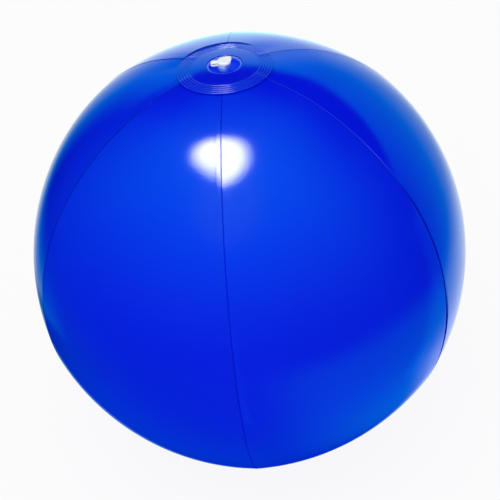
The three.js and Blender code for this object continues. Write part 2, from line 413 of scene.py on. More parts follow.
class Skin:
    """The inflated round of the ball, as the gores and the discs share it."""

    def __init__(self, sizes):
        self.sizes = sizes
        seam = sizes.seam_radius
        middle = sizes.middle_radius
        self.setback = (seam**2 - middle**2) / (2 * (middle - seam * math.cos(HALF_GORE)))
        self.arc = middle + self.setback

    def band_inner(self):
        """Radius at which the ringed band of a disc begins."""
        return self.sizes.disc_radius - self.sizes.ridge_count * self.sizes.ridge_pitch

    def along_seam(self, polar, azimuth):
        """Distance from the centre to the skin, before the gores flatten between their seams.

        The upper disc lies a little under the round and tilts, so its edge is lowest on the taut
        side, and the floor presses the lower disc in. Beside a disc the film eases back to the
        round: at once where it is taut, and slowly on the slack side.
        """
        sizes = self.sizes
        from_axis = sizes.seam_radius * np.sin(polar)
        towards_slack = np.cos(azimuth - sizes.slack_azimuth)
        slack = smooth_step(towards_slack, *SLACK_COSINES)
        taut_rise = smooth_step(from_axis, sizes.disc_radius, sizes.disc_radius + sizes.band_rise)
        slack_rise = smooth_step(from_axis, sizes.disc_radius, sizes.disc_radius + sizes.slack_rise)
        away = taut_rise + slack * (slack_rise - taut_rise)
        across = (from_axis - sizes.well_radius) / (sizes.disc_radius - sizes.well_radius)
        across = np.clip(across, 0.0, 1.0)
        tilted = sizes.disc_tilt * towards_slack * across - sizes.disc_sink
        moved = np.where(polar < math.pi / 2, tilted, -sizes.base_sink * across)
        return sizes.seam_radius + moved * (1.0 - away)

    def fold(self, polar, azimuth):
        """How much painted shade a place takes in the fold beside a disc, where the taut film turns up
        at its edge.
        """
        sizes = self.sizes
        from_axis = sizes.seam_radius * np.sin(polar)
        taut = smooth_step(-np.cos(azimuth - sizes.slack_azimuth), *FOLD_COSINES)
        away = (from_axis - sizes.disc_radius - sizes.fold_width) / sizes.fold_width
        return FOLD_PAINTED_SHADE * taut * np.exp(-(away**2))

    def flatness(self, azimuth):
        """How much nearer the centre the skin is than a seam, at the equator."""
        from_middle = np.mod(azimuth, 2 * HALF_GORE) - HALF_GORE
        sideways = self.setback * np.sin(from_middle)
        straight = self.sizes.seam_radius + self.setback * np.cos(from_middle)
        return straight - np.sqrt(self.arc**2 - sideways**2)

    def points(self, polar, azimuth, outward):
        """Points of the skin, polar from +Z, moved outward from the outer face of the gores."""
        around = np.sin(polar)
        radius = self.along_seam(polar, azimuth) - self.flatness(azimuth) * around**2 + outward
        from_leaning = np.mod(azimuth - LEANING_SEAM + math.pi, 2 * math.pi) - math.pi
        lean = self.sizes.seam_lean * np.exp(-(((polar - LEAN_POLAR) / LEAN_REACH) ** 2))
        lean = lean * np.exp(-((from_leaning / HALF_GORE) ** 2))
        east = radius * around * np.sin(azimuth - lean)
        north = -radius * around * np.cos(azimuth - lean)
        up = radius * np.cos(polar) + CENTRE_HEIGHT
        return np.stack(np.broadcast_arrays(east, north, up), axis=-1)

    def pole_profile(self, from_axis, outward):
        """Distance from the axis and height above the centre, near a pole, along a seam."""
        polar = np.arcsin(np.asarray(from_axis) / self.sizes.seam_radius)
        radius = self.along_seam(polar, self.sizes.slack_azimuth + math.pi / 2) + outward
        return radius * np.sin(polar), radius * np.cos(polar)


# Lengths of the small waves along a weld
WAVE_LENGTHS = (0.021, 0.0134, 0.0087)

# How far from a disc's edge those waves begin, and where they are whole
WAVES_BEGIN = 0.006
WAVES_WHOLE = 0.03

# Rows of a gore under a disc, across the disc's edge and between the discs, and its open columns
TIP_ROWS = 4
EDGE_ROWS = 22
MIDDLE_ROWS = 96
GORE_COLUMNS = 26

# How far the close rows reach on both sides of a disc's edge
EDGE_MARGIN = 0.001

# Parts of a groove's width at which its columns lie, and between which its painted shade ends
GROOVE_PARTS = np.linspace(0.08, 1.0, 6)
GROOVE_SHADE_ENDS = (0.7, 1.0)

# How far past a groove the columns of its margin lie
MARGIN_PLACES = (0.0006, 0.0012, 0.0018)

# Width in which the lapped film rises over the film below it
LAP_SLOPE = 0.0009

# Part of the film's thickness over which its cut edge rounds off
EDGE_PART = 0.4


def weld_waves(distance_along, from_weld, weld, reach):
    """Small waves of the film beside a weld, from -1 to 1, fading away from it."""
    waves = np.zeros_like(distance_along)
    for order, wave_length in enumerate(WAVE_LENGTHS):
        phase = 1.7 * weld + 2.3 * order + 0.6 * math.sin(3.0 * weld + order)
        waves = waves + np.sin(2 * math.pi * distance_along / wave_length + phase)
    return waves / len(WAVE_LENGTHS) * np.exp(-np.abs(from_weld) / reach)


def gore_waves(sizes, number, polar, turn):
    """Waves of a gore's film beside its two welds, which fade out towards the discs."""
    from_axis = sizes.seam_radius * np.sin(polar)
    along = sizes.seam_radius * polar
    fade = smooth_step(from_axis - sizes.disc_radius, WAVES_BEGIN, WAVES_WHOLE)
    after = (number + 1) % GORE_COUNT
    first = weld_waves(along, turn * from_axis, number, sizes.pucker_reach)
    second = weld_waves(along, (turn - 2 * HALF_GORE) * from_axis, after, sizes.pucker_reach)
    return sizes.pucker_height * fade * (first + second)


def gore_rows(skin):
    """Angles from +Z of a gore's rows of points, closer together at the discs' edges."""
    sizes = skin.sizes
    tip = math.asin(skin.band_inner() / sizes.seam_radius)
    edge = math.asin((sizes.disc_radius - EDGE_MARGIN) / sizes.seam_radius)
    cap = math.asin((sizes.disc_radius + sizes.band_rise + EDGE_MARGIN) / sizes.seam_radius)
    under_disc = np.linspace(tip, edge, TIP_ROWS, endpoint=False)
    across_edge = np.linspace(edge, cap, EDGE_ROWS, endpoint=False)
    upper = np.concatenate([under_disc, across_edge])
    middle = np.linspace(cap, math.pi - cap, MIDDLE_ROWS)
    return np.concatenate([upper, middle, math.pi - upper[::-1]])[:, None]


def gore_columns(sizes, look, next_look):
    """Columns of a gore: place between the seams, distance beside it, outward, doubled film, painted
    shade.
    """
    under = -2.0 * sizes.film
    tucked = under * max(look.groove, 1.0)
    columns = [(0.0, -part * sizes.lap_width, tucked, 0.0, 0.0) for part in (1.0, 0.5, 0.0)]
    groove_width = look.groove * sizes.groove_width
    for part in GROOVE_PARTS:
        shade = look.shade * (1.0 - smooth_step(part, *GROOVE_SHADE_ENDS))
        columns.append((0.0, part * groove_width, under * look.groove * (1.0 - part), 0.0, shade))
    for past in MARGIN_PLACES:
        columns.append((0.0, groove_width + past, 0.0, 0.0, 0.0))
    for part in np.linspace(0.0, 1.0, GORE_COLUMNS)[1:-1]:
        columns.append((part, 0.0, 0.0, 0.0, 0.0))
    for part in np.linspace(0.0, 1.0, 6):
        raised = smooth_step(part, 0.0, 1.0)
        beside = -sizes.lap_width - LAP_SLOPE * (1.0 - part)
        columns.append((1.0, beside, sizes.lap_rise * raised, raised, 0.0))
    edge = sizes.film * EDGE_PART
    for back, outward, shade in (
        (sizes.lap_width / 2, sizes.lap_rise, 0.0),
        (4 * edge, sizes.lap_rise, 0.0),
        (2 * edge, sizes.lap_rise, 0.6),
        (edge, sizes.lap_rise * 0.9, 0.9),
        (0.3 * edge, sizes.lap_rise - 0.3 * edge, 1.0),
        (0.0, sizes.lap_rise - edge, 1.0),
    ):
        columns.append((1.0, -back, outward, 1.0, shade * next_look.shade))
    return columns


def column_turns(sizes, place, beside, groove_width, from_axis):
    """Angle of each column from the gore's own seam, in every row."""
    inner_edge = groove_width / from_axis
    outer_edge = (sizes.lap_width + LAP_SLOPE) / from_axis
    spread = inner_edge + place * (2 * HALF_GORE - inner_edge - outer_edge)
    ends = np.where(place < 0.5, 0.0, 2 * HALF_GORE) + beside / from_axis
    return np.where((place > 0.0) & (place < 1.0), spread, ends)


def groove_opening(polar, look):
    """What part of its groove a seam has, growing from the upper disc down."""
    return look.start + (1.0 - look.start) * smooth_step(polar, *GROOVE_OPENS)


def edge_glint(polar, look):
    """How strong the painted glint on a lap's edge is: faint below the disc, then full along one short
    stretch.
    """
    begun = smooth_step(polar, *GLINT_BEGINS)
    faint = FAINT_GLINT * smooth_step(polar, *FAINT_BEGINS) * (1.0 - begun)
    return look.glint * (faint + begun * (1.0 - smooth_step(polar, *GLINT_ENDS)))


def build_gore(skin, number):
    """One closed gore shell, tucked under the gore before it and lapped over the one after it."""
    sizes = skin.sizes
    look = SEAM_LOOKS[number]
    next_look = SEAM_LOOKS[(number + 1) % GORE_COUNT]
    polar = gore_rows(skin)
    columns = np.array(gore_columns(sizes, look, next_look))
    place, beside, outward, doubled, shade = columns.T[:, None, :]
    near = (place < 0.5) & (beside > 0.0)
    far = place == 1.0
    groove_width = look.groove * sizes.groove_width
    in_margin = near & (outward == 0.0) & (beside < groove_width + MARGIN_PLACES[-1])
    margin = look.margin * smooth_step(polar, *MARGIN_BEGINS) * in_margin
    opening = groove_opening(polar, look)
    next_opening = groove_opening(polar, next_look)
    beside = np.where(near, beside * opening, beside)
    outward = np.where(near, outward * opening, outward)
    shade = shade * np.where(near, opening, next_opening)
    from_axis = sizes.seam_radius * np.sin(polar)
    turn = column_turns(sizes, place, beside, groove_width * opening, from_axis)
    azimuth = number * 2 * HALF_GORE + turn
    waves = gore_waves(sizes, number, polar, turn)
    outer = skin.points(polar, azimuth, outward + waves)
    inner = skin.points(polar, azimuth, np.minimum(outward, 0.0) + waves - sizes.film)
    piece = piece_from(f"gore_{number + 1}", *shell_between(outer, inner))
    edge = sizes.film * EDGE_PART
    in_groove = near & (outward < 0.0)
    on_edge = far & (beside > -3.0 * edge)
    by_edge = far & (beside > -1.5 * edge)
    dull = look.dullness * in_groove * opening + next_look.dullness * on_edge * next_opening
    # Painted shade in the groove, on the lap's edge and in the margin below the equator, standing in
    # for the shadow in the seam
    shade = np.maximum(shade, margin * look.shade)
    # The marks carry painted shade in the fold and the seams, and a painted glint on one lap's edge
    marks = {
        "weld": LAP_DEEPENING * doubled,
        "dull": np.maximum(dull, margin),
        "painted_glint": edge_glint(polar, next_look) * by_edge,
        "painted_shade": np.maximum(skin.fold(polar, azimuth), shade),
    }
    for name, values in marks.items():
        mark_points(piece, name, np.broadcast_to(values, (2, *azimuth.shape)))
    return piece


def ring_profile(skin, from_axis):
    """Height of the weld rings above a disc, each a low round bead."""
    sizes = skin.sizes
    turns = (from_axis - skin.band_inner()) / sizes.ridge_pitch
    from_crest = (np.mod(turns, 1.0) - 0.5) * sizes.ridge_pitch
    bend = (sizes.ridge_width**2 + sizes.ridge_height**2) / (2 * sizes.ridge_height)
    beads = np.sqrt(np.maximum(bend**2 - from_crest**2, 0.0)) - bend + sizes.ridge_height
    return np.where(from_axis >= skin.band_inner(), np.maximum(beads, 0.0), 0.0)


# Points round a disc, and the rows across each of its parts
DISC_STEPS = 252
PLAIN_ROWS = 12
BEAD_ROWS = 13
UNDER_ROWS = 10
TURN_ROWS = 7

# Width and drop of the fine bevel along a disc's edge
BEVEL_WIDTH = 0.00002
BEVEL_DROP = 0.0001

# Half the width of a seam's print on a disc, and where it comes in, from the ringed band's inner edge
PRINT_WIDTH = 0.0018
PRINT_BEGINS = (-0.001, 0.002)

# Parts of the flat patch's radius at which its inner rings lie
PATCH_PARTS = (0.75, 0.5, 0.25)


def disc_rows(skin, innermost):
    """Rows of a disc's upper and lower face: distance from the axis, and outward from the gores."""
    sizes = skin.sizes
    plain = np.linspace(innermost, skin.band_inner(), PLAIN_ROWS, endpoint=False)
    banded = []
    for ring in range(sizes.ridge_count):
        crest = skin.band_inner() + (ring + 0.5) * sizes.ridge_pitch
        banded.append(crest - sizes.ridge_pitch / 2)
        banded += list(crest + sizes.ridge_width * np.linspace(-1.0, 1.0, BEAD_ROWS))
    upper = [(r, sizes.disc_lift + float(ring_profile(skin, r))) for r in (*plain, *banded)]
    edge = sizes.disc_radius
    upper.append((edge - BEVEL_WIDTH, sizes.disc_lift))
    upper.append((edge, sizes.disc_lift - BEVEL_DROP))
    under = sizes.disc_lift - sizes.disc_film
    lower = [(r, under) for r in np.linspace(edge, innermost, UNDER_ROWS)]
    return upper, lower


def disc_grid(skin, rows, below):
    """Points of a disc row by row, with the seams under it showing through."""
    sizes = skin.sizes
    around = np.arange(DISC_STEPS)[None, :] * 2 * math.pi / DISC_STEPS
    from_axis, outward = np.array(rows).T[:, :, None]
    polar = np.arcsin(from_axis / sizes.seam_radius)
    lap_middle = sizes.lap_width / 2 / from_axis
    turn = np.mod(around + lap_middle + HALF_GORE, 2 * HALF_GORE) - HALF_GORE
    from_seam = turn * from_axis
    banded = smooth_step(from_axis - skin.band_inner(), *PRINT_BEGINS)
    show = sizes.seam_print * np.exp(-((from_seam / PRINT_WIDTH) ** 2)) * banded
    radius = skin.along_seam(math.pi - polar if below else polar, around) + outward + show
    grid = np.zeros((len(rows), DISC_STEPS, 3))
    grid[:, :, 0] = radius * np.sin(polar) * np.sin(around)
    grid[:, :, 1] = -radius * np.sin(polar) * np.cos(around)
    grid[:, :, 2] = CENTRE_HEIGHT + (-1 if below else 1) * radius * np.cos(polar)
    return grid


def turned_edge(sizes):
    """Rows of the edge that the upper disc turns down into the well: its outside, then its inside."""
    middle = (sizes.well_radius + sizes.well_turn, sizes.disc_lift - sizes.well_turn)
    within = sizes.well_turn - sizes.disc_film
    outside = []
    inside = []
    for bend in np.linspace(0.0, math.pi / 2, TURN_ROWS)[1:]:
        across = math.sin(bend)
        up = math.cos(bend)
        outside.insert(0, (middle[0] - sizes.well_turn * across, middle[1] + sizes.well_turn * up))
        inside.append((middle[0] - within * across, middle[1] + within * up))
    return outside, inside


def build_crown_disc(skin):
    """Upper disc with its weld rings, and the hole that the valve sits in."""
    sizes = skin.sizes
    upper, lower = disc_rows(skin, sizes.well_radius + sizes.well_turn)
    outside, inside = turned_edge(sizes)
    grid = disc_grid(skin, [*outside, *upper, *lower, *inside], below=False)
    rows = grid.shape[0]
    faces = grid_faces(0, rows, DISC_STEPS, True) + closing_faces(rows, DISC_STEPS)
    piece = piece_from("crown_disc_skin", grid.reshape(-1, 3), faces)
    mark_points(piece, "weld", np.ones(grid.shape[:2]))
    return piece


def build_base_disc(skin):
    """Lower disc with its weld rings, closed and pressed flat where the ball rests on it."""
    upper, lower = disc_rows(skin, skin.sizes.patch_radius)
    grid = disc_grid(skin, [*upper, *lower], below=True)
    inward = np.array(PATCH_PARTS)[:, None, None]
    flat = grid[0][None] * np.array([1.0, 1.0, 0.0])
    patch = flat * inward
    roof = flat * inward[::-1] + np.array([0.0, 0.0, grid[-1, 0, 2]])
    grid = np.concatenate([patch[::-1], grid, roof[::-1]])
    grid[:, :, 2] = np.maximum(grid[:, :, 2], 0.0)
    rows = grid.shape[0]
    faces = grid_faces(0, rows, DISC_STEPS, True, flip=True)
    points = list(grid.reshape(-1, 3))
    for row, height, turn in ((0, 0.0, -1), (rows - 1, grid[-1, 0, 2], 1)):
        faces += fan_faces(len(points), row, DISC_STEPS, turn)
        points.append((0.0, 0.0, height))
    piece = piece_from("base_disc_skin", points, faces)
    mark_points(piece, "weld", np.ones(len(points)))
    return piece


# Points round the valve's turned pieces, and rows across its flange
VALVE_STEPS = 72
FLANGE_ROWS = 9

# Rows down the skirt's wall, round its lip and round its foot
WALL_ROWS = 33
LIP_ROWS = 17
FOOT_ROWS = 7

# Handles of the curve that the skirt follows, as parts of its drop
LIP_HANDLE = 0.45
FOOT_HANDLE = 0.4

# Gap between the skirt's lip and the well, and how far past half a turn its bead is rolled
LIP_GAP = 0.00005
LIP_ROLL = 0.3 * math.pi

# Height of the ring at the stem's mouth, of the slope under it, and depth of the waist below
MOUTH_HEIGHT = 0.0016
MOUTH_SLOPE = 0.0006
WAIST_DEPTH = 0.00018

# Points round the stopper, and rows in each rounding of its head
STOPPER_STEPS = 96
ROUND_ROWS = 6

# How closely the tab's outline keeps to the head's where the two meet
TAB_SHARPNESS = 14.0

# Plug from its tip up: parts of the shank's radius, and heights above the tip
PLUG_TIP = (
    (0.45, 0.0),
    (0.68, 0.00006),
    (0.78, 0.00025),
    (0.93, 0.0009),
    (1.0, 0.0014),
    (1.03, 0.0018),
    (1.0, 0.0022),
    (0.96, 0.0027),
)

# Plug below the head: parts of the shank's radius, and depths under the head
PLUG_NECK = ((0.96, 0.0005), (0.99, 0.0002), (1.08, 0.0))

# Shallow dish in the head's top: parts of the head's outline, and depths
HEAD_DISH = ((0.8, 0.0), (0.7, 0.00006), (0.62, 0.0002), (0.4, 0.00026), (0.2, 0.00028))

# How far the strap's ends reach into the head and into the stem, and the points of its bend
HEAD_GRIP = 0.0004
STEM_GRIP = 0.0003
BEND_ROWS = 21

# Points round the leaf, and its rounded edge: parts of its outline, and depths from its faces
LEAF_STEPS = 56
LEAF_EDGE = ((0.5, 0.0), (0.93, 0.0), (0.98, 0.00006), (1.0, 0.0002))


def build_flange(skin, valve):
    """Ring that carries the valve, lying under the upper disc."""
    from_axis = np.linspace(skin.sizes.well_radius, valve.flange_radius, FLANGE_ROWS)
    upper = np.column_stack(skin.pole_profile(from_axis, 0.0))
    lower = np.column_stack(skin.pole_profile(from_axis[::-1], -valve.flange_thickness))
    profile = np.concatenate([upper, lower]) + np.array([0.0, CENTRE_HEIGHT])
    return piece_from("flange_ring", *revolved(profile, VALVE_STEPS))


def bezier(points, part):
    """Place on the smooth curve that four points steer."""
    start, first, second, end = (np.array(point) for point in points)
    rest = 1.0 - part
    curve = rest**3 * start + 3 * rest**2 * part * first
    return curve + 3 * rest * part**2 * second + part**3 * end


def build_skirt(skin, valve):
    """Soft wall from a rolled lip in the edge of the well down to the collar of the stem."""
    half_wall = valve.skirt_wall / 2
    lip_radius = skin.sizes.well_radius - valve.lip_round - LIP_GAP
    top = (lip_radius, RIM_HEIGHT - valve.lip_depth - valve.lip_round)
    foot_radius = valve.stem_radius + valve.clearance + half_wall
    foot = (foot_radius, STEM_LOW.z + valve.collar_thickness + valve.clearance)
    drop = top[1] - foot[1]
    below_lip = (top[0], top[1] - LIP_HANDLE * drop)
    above_foot = (foot[0], foot[1] + FOOT_HANDLE * drop)
    along = np.linspace(0.0, 1.0, WALL_ROWS)
    line = np.array([bezier((top, below_lip, above_foot, foot), part) for part in along])
    side = side_of(line) * half_wall
    outside = line + side
    inside = line - side
    roll = np.linspace(-LIP_ROLL, math.pi + LIP_ROLL, LIP_ROWS)
    lip = line[0] + valve.lip_round * np.column_stack([np.cos(roll), np.sin(roll)])
    turn = np.linspace(0.0, math.pi, FOOT_ROWS)[1:-1]
    foot_turn = np.column_stack([-np.cos(turn), -np.sin(turn)]) * half_wall + line[-1]
    parts = [outside[:1:-1], lip, inside[2:], foot_turn]
    piece = piece_from("skirt_wall", *revolved(np.concatenate(parts), VALVE_STEPS))
    on_lip = [np.full(len(part), 1.0 if part is lip else 0.0) for part in parts]
    mark_points(piece, "lip", np.repeat(np.concatenate(on_lip), VALVE_STEPS))
    return piece


def build_stem(valve):
    """Tube with a ring at its mouth, a slight waist and a collar at its foot."""
    low = STEM_LOW.z
    high = STEM_HIGH.z
    collar = valve.stem_radius + valve.collar_width
    shelf = low + valve.collar_thickness
    waist = valve.stem_radius - WAIST_DEPTH
    ring = high - MOUTH_HEIGHT
    corners = [
        (valve.bore_radius, low, 0.0002),
        (valve.bore_radius, high, 0.00045),
        (valve.stem_radius, high, 0.0005),
        (valve.stem_radius, ring, 0.0003),
        (waist, ring - MOUTH_SLOPE, 0.0003),
        (waist, shelf, 0.0004),
        (collar, shelf, 0.0003),
        (collar, low, 0.0003),
    ]
    return piece_from("stem_tube", *revolved(softened(corners), VALVE_STEPS))


def head_outline(valve, around):
    """Radius of the stopper's head seen from above, with the rounded pull tab."""
    turn = np.mod(around - valve.tab_azimuth + math.pi, 2 * math.pi) - math.pi
    reach = valve.head_radius + valve.tab_reach
    tab_end = valve.tab_width / 2
    middle = reach - tab_end
    sideways = middle * np.sin(turn)
    ahead = np.sqrt(np.maximum(tab_end**2 - sideways**2, 0.0)) + middle * np.cos(turn)
    tab = np.where((np.abs(sideways) < tab_end) & (np.cos(turn) > 0), ahead, 0.0)
    both = valve.head_radius**TAB_SHARPNESS + tab**TAB_SHARPNESS
    return both ** (1.0 / TAB_SHARPNESS)


def build_stopper(valve):
    """Plug with a bead, and a rounded head with a pull tab."""
    around = np.arange(STOPPER_STEPS) * 2 * math.pi / STOPPER_STEPS
    outline = head_outline(valve, around)
    high = PLUG_HIGH.z
    base = high - valve.head_thickness
    tip = PLUG_LOW.z
    shank = valve.shank_radius
    rings = [(across * shank, tip + up) for across, up in PLUG_TIP]
    rings += [(across * shank, base - down) for across, down in PLUG_NECK]
    rings.append(((shank + valve.head_radius) / 2, base))
    for face, way in ((base, 1), (high, -1)):
        for bend in np.linspace(0.0, math.pi / 2, ROUND_ROWS)[::way]:
            inset = valve.head_round * (1.0 - math.sin(bend))
            rise = valve.head_round * (1.0 - math.cos(bend))
            rings.append((outline - inset, face + way * rise))
    rings += [(part * outline, high - depth) for part, depth in HEAD_DISH]
    side = polar_direction(around)
    points = []
    for across, up in rings:
        height = np.full(STOPPER_STEPS, up)
        points += list(np.column_stack([across * side[0], across * side[1], height]))
    faces = grid_faces(0, len(rings), STOPPER_STEPS, True)
    for row, turn in ((0, 1), (len(rings) - 1, -1)):
        faces += fan_faces(len(points), row, STOPPER_STEPS, turn)
        points.append((0.0, 0.0, rings[row][1]))
    return piece_from("stopper_plug", points, faces)


def build_strap(valve):
    """Flat strap from the stopper's head, round a bend and back to the stem."""
    upper = PLUG_HIGH.z - valve.head_thickness / 2
    start = valve.head_radius - HEAD_GRIP
    finish = valve.stem_radius - STEM_GRIP
    bend = valve.head_radius + valve.clearance + valve.strap_span
    middle = upper - valve.strap_loop
    lower = middle - valve.strap_loop
    path = [(start, upper), ((start + bend) / 2, upper)]
    for part in np.linspace(math.pi / 2, -math.pi / 2, BEND_ROWS):
        out = valve.strap_loop * math.cos(part)
        path.append((bend + out, middle + valve.strap_loop * math.sin(part)))
    path = np.array([*path, ((finish + bend) / 2, lower), (finish, lower)])
    half_width = valve.strap_width / 2
    half_depth = valve.strap_thickness / 2
    sides = ((-1, -1), (1, -1), (1, 1), (-1, 1))
    corners = [(wide * half_width, deep * half_depth, 0.9 * half_depth) for wide, deep in sides]
    section = softened(corners, steps=4)
    outward = polar_direction(valve.strap_azimuth)
    across = np.array([-outward[1], outward[0]])
    points = []
    for place, normal in zip(path, side_of(path)):
        for wide, deep in section:
            out, up = place + normal * deep
            points.append((*(outward * out + across * wide), up))
    rows, count = len(path), len(section)
    faces = grid_faces(0, rows, count, True) + end_faces(rows, count)
    return piece_from("stopper_band", points, faces)


def build_flap(valve):
    """Leaf that closes the tube from below, with its hinge lug towards +X."""
    half_hinge = valve.flap_hinge_width / 2
    opening = math.asin(half_hinge / valve.flap_radius)
    around = np.linspace(opening, 2 * math.pi - opening, LEAF_STEPS)
    outline = [(FLAP_HIGH.x, -half_hinge), (FLAP_HIGH.x, half_hinge)]
    outline += [(valve.flap_radius * math.cos(a), valve.flap_radius * math.sin(a)) for a in around]
    outline = np.array(outline)
    centre = outline.mean(axis=0)
    rings = [(scale, FLAP_LOW.z + depth) for scale, depth in LEAF_EDGE]
    rings += [(scale, FLAP_HIGH.z - depth) for scale, depth in reversed(LEAF_EDGE)]
    points = []
    for scale, up in rings:
        points += [(*(centre + (place - centre) * scale), up) for place in outline]
    rows, count = len(rings), len(outline)
    faces = grid_faces(0, rows, count, True) + end_faces(rows, count)
    return piece_from("flap_leaf", points, faces)


# Materials


class Value:
    """A socket that carries a number, so that sums on it add Math nodes."""

    def __init__(self, board, socket):
        self.board = board
        self.socket = socket

    def joined(self, operation, first, second):
        """The result of a Math node."""
        made = self.board.node("ShaderNodeMath", {"operation": operation}, {0: first, 1: second})
        return Value(self.board, made.outputs[0])

    def __add__(self, other):
        return self.joined("ADD", self, other)

    def __radd__(self, other):
        return self.joined("ADD", other, self)

    def __sub__(self, other):
        return self.joined("SUBTRACT", self, other)

    def __rsub__(self, other):
        return self.joined("SUBTRACT", other, self)

    def __mul__(self, other):
        return self.joined("MULTIPLY", self, other)

    def __rmul__(self, other):
        return self.joined("MULTIPLY", other, self)

    def __truediv__(self, other):
        return self.joined("DIVIDE", self, other)

    def __rtruediv__(self, other):
        return self.joined("DIVIDE", other, self)

    def __pow__(self, other):
        return self.joined("POWER", self, other)


class NodeBoard:
    """The node tree of a material, a lamp or the world."""

    def __init__(self, owner):
        owner.use_nodes = True
        self.tree = owner.node_tree
        self.tree.nodes.clear()

    def node(self, kind, settings, sockets):
        """Adds a node: its settings first, then the values or links of its sockets."""
        made = self.tree.nodes.new(kind)
        for name, setting in settings.items():
            setattr(made, name, setting)
        for name, given in sockets.items():
            target = made.inputs[name]
            if isinstance(given, Value):
                given = given.socket
            if isinstance(given, bpy.types.NodeSocket):
                self.tree.links.new(given, target)
            else:
                target.default_value = given
        return made

    def output(self, kind, sockets):
        """The first output of a node with plain settings."""
        return self.node(kind, {}, sockets).outputs[0]

    def value(self, kind, settings, sockets, output):
        """One output of a node, as a number to reckon with."""
        return Value(self, self.node(kind, settings, sockets).outputs[output])

    def axes(self, vector):
        """The three parts of a vector."""
        parts = self.node("ShaderNodeSeparateXYZ", {}, {"Vector": vector}).outputs
        return [Value(self, part) for part in parts]

    def marked(self, name):
        """The number that a piece's points carry under this name."""
        return self.value("ShaderNodeAttribute", {"attribute_name": name}, {}, "Fac")

    def stepped(self, value, low, high):
        """A soft step of a value, from 0 at low to 1 at high."""
        sockets = {"Value": value, "From Min": low, "From Max": high}
        settings = {"interpolation_type": "SMOOTHSTEP"}
        return self.value("ShaderNodeMapRange", settings, sockets, "Result")

    def clipped(self, value):
        """A value kept between 0 and 1."""
        return self.value("ShaderNodeClamp", {}, {"Value": value}, "Result")

    def mixed(self, factor, first, second):
        """A colour between two colours."""
        sockets = {"Factor": factor, 6: first, 7: second}
        return self.node("ShaderNodeMix", {"data_type": "RGBA"}, sockets).outputs[2]

    def tinted(self, red, green, blue):
        """A colour of three values."""
        sockets = {"Red": red, "Green": green, "Blue": blue}
        return self.output("ShaderNodeCombineColor", sockets)

    def place(self):
        """Place on a piece, in metres."""
        return self.node("ShaderNodeTexCoord", {}, {}).outputs["Object"]

    def noise(self, place, scale, detail):
        """Even, cloudy variation over a piece."""
        sockets = {"Vector": place, "Scale": scale, "Detail": detail}
        return self.value("ShaderNodeTexNoise", {}, sockets, "Fac")

    def bumped(self, height, strength, distance):
        """The normal of a surface that this height roughens."""
        sockets = {"Strength": strength, "Distance": distance, "Height": height}
        return self.output("ShaderNodeBump", sockets)

    def show(self, shader):
        """Makes a shader the surface of the material."""
        self.node("ShaderNodeOutputMaterial", {}, {"Surface": shader})


PRINCIPLED = "ShaderNodeBsdfPrincipled"
WHITE = (1.0, 1.0, 1.0, 1.0)
BLACK = (0.0, 0.0, 0.0, 1.0)

# How deep a weld, and the painted shade in folds and grooves, make the film's colour, and how far a
# weld goes that way
WELD_TONE = 0.88
WELD_PART = 0.8
PAINTED_SHADE_TONE = 0.4

# Noise from which the film is scuffed, and what each effect adds to its roughness
SCUFFED = (0.6, 0.78)
CLOUD_ROUGHNESS = 0.03
SCUFF_ROUGHNESS = 0.05
WELD_ROUGHNESS = 0.02

# How far the skirt's lip takes on the stem's paler colour, a painted sheen along its rolled bead
LIP_PAINTED_SHEEN = 0.28

# How far the right side of the stem takes on the colour of its foot, as painted shade on its side away
# from the light
RIGHT_PAINTED_SHADE = 0.8

# Heights below the stem's mouth between which its milky colour fades into that of its foot
MOUTH_FADE = (0.0042, 0.001)

# Places across the stem between which its right side takes on that colour as painted shade
RIGHT_SHADE_SPREAD = (-0.0004, 0.0022)


def four(rgb, scale=1.0):
    """A colour with its alpha, made darker or lighter by a scale."""
    return (rgb[0] * scale, rgb[1] * scale, rgb[2] * scale, 1.0)


def film_material(finish):
    """Glossy soft film, deeper along the welds, matt in the grooves, with painted shade in the folds
    and grooves and a painted glint at one lap's edge.
    """
    material = bpy.data.materials.new("ball_film_gloss")
    board = NodeBoard(material)
    place = board.place()
    weld = board.marked("weld")
    cloud = board.noise(place, scale=18.0, detail=3.0)
    peel = board.noise(place, scale=700.0, detail=2.0)
    scuff = board.noise(place, scale=160.0, detail=6.0)
    body = board.mixed(cloud, four(finish.film_colour, 0.95), four(finish.film_colour, 1.04))
    body = board.mixed(weld * WELD_PART, body, four(finish.film_colour, WELD_TONE))
    # Painted shade in the fold beside the upper disc and in the seams' grooves
    body = board.mixed(board.marked("painted_shade"), body, four(finish.film_colour, PAINTED_SHADE_TONE))
    # Painted glint on one lap's edge
    body = board.mixed(board.marked("painted_glint"), body, four(finish.glint_colour))
    worn = board.stepped(scuff, *SCUFFED)
    roughness = finish.film_roughness + (cloud - 0.5) * CLOUD_ROUGHNESS
    roughness = roughness + worn * SCUFF_ROUGHNESS + weld * WELD_ROUGHNESS
    normal = board.bumped(peel, strength=0.05, distance=0.0004)
    sockets = {"Base Color": body, "Roughness": roughness, "IOR": 1.5, "Normal": normal}
    glossy = board.output(PRINCIPLED, sockets)
    sockets = {"Base Color": body, "Roughness": 0.9, "Specular IOR Level": 0.0}
    matt = board.output(PRINCIPLED, sockets)
    board.show(board.output("ShaderNodeMixShader", {0: board.marked("dull"), 1: glossy, 2: matt}))
    return material


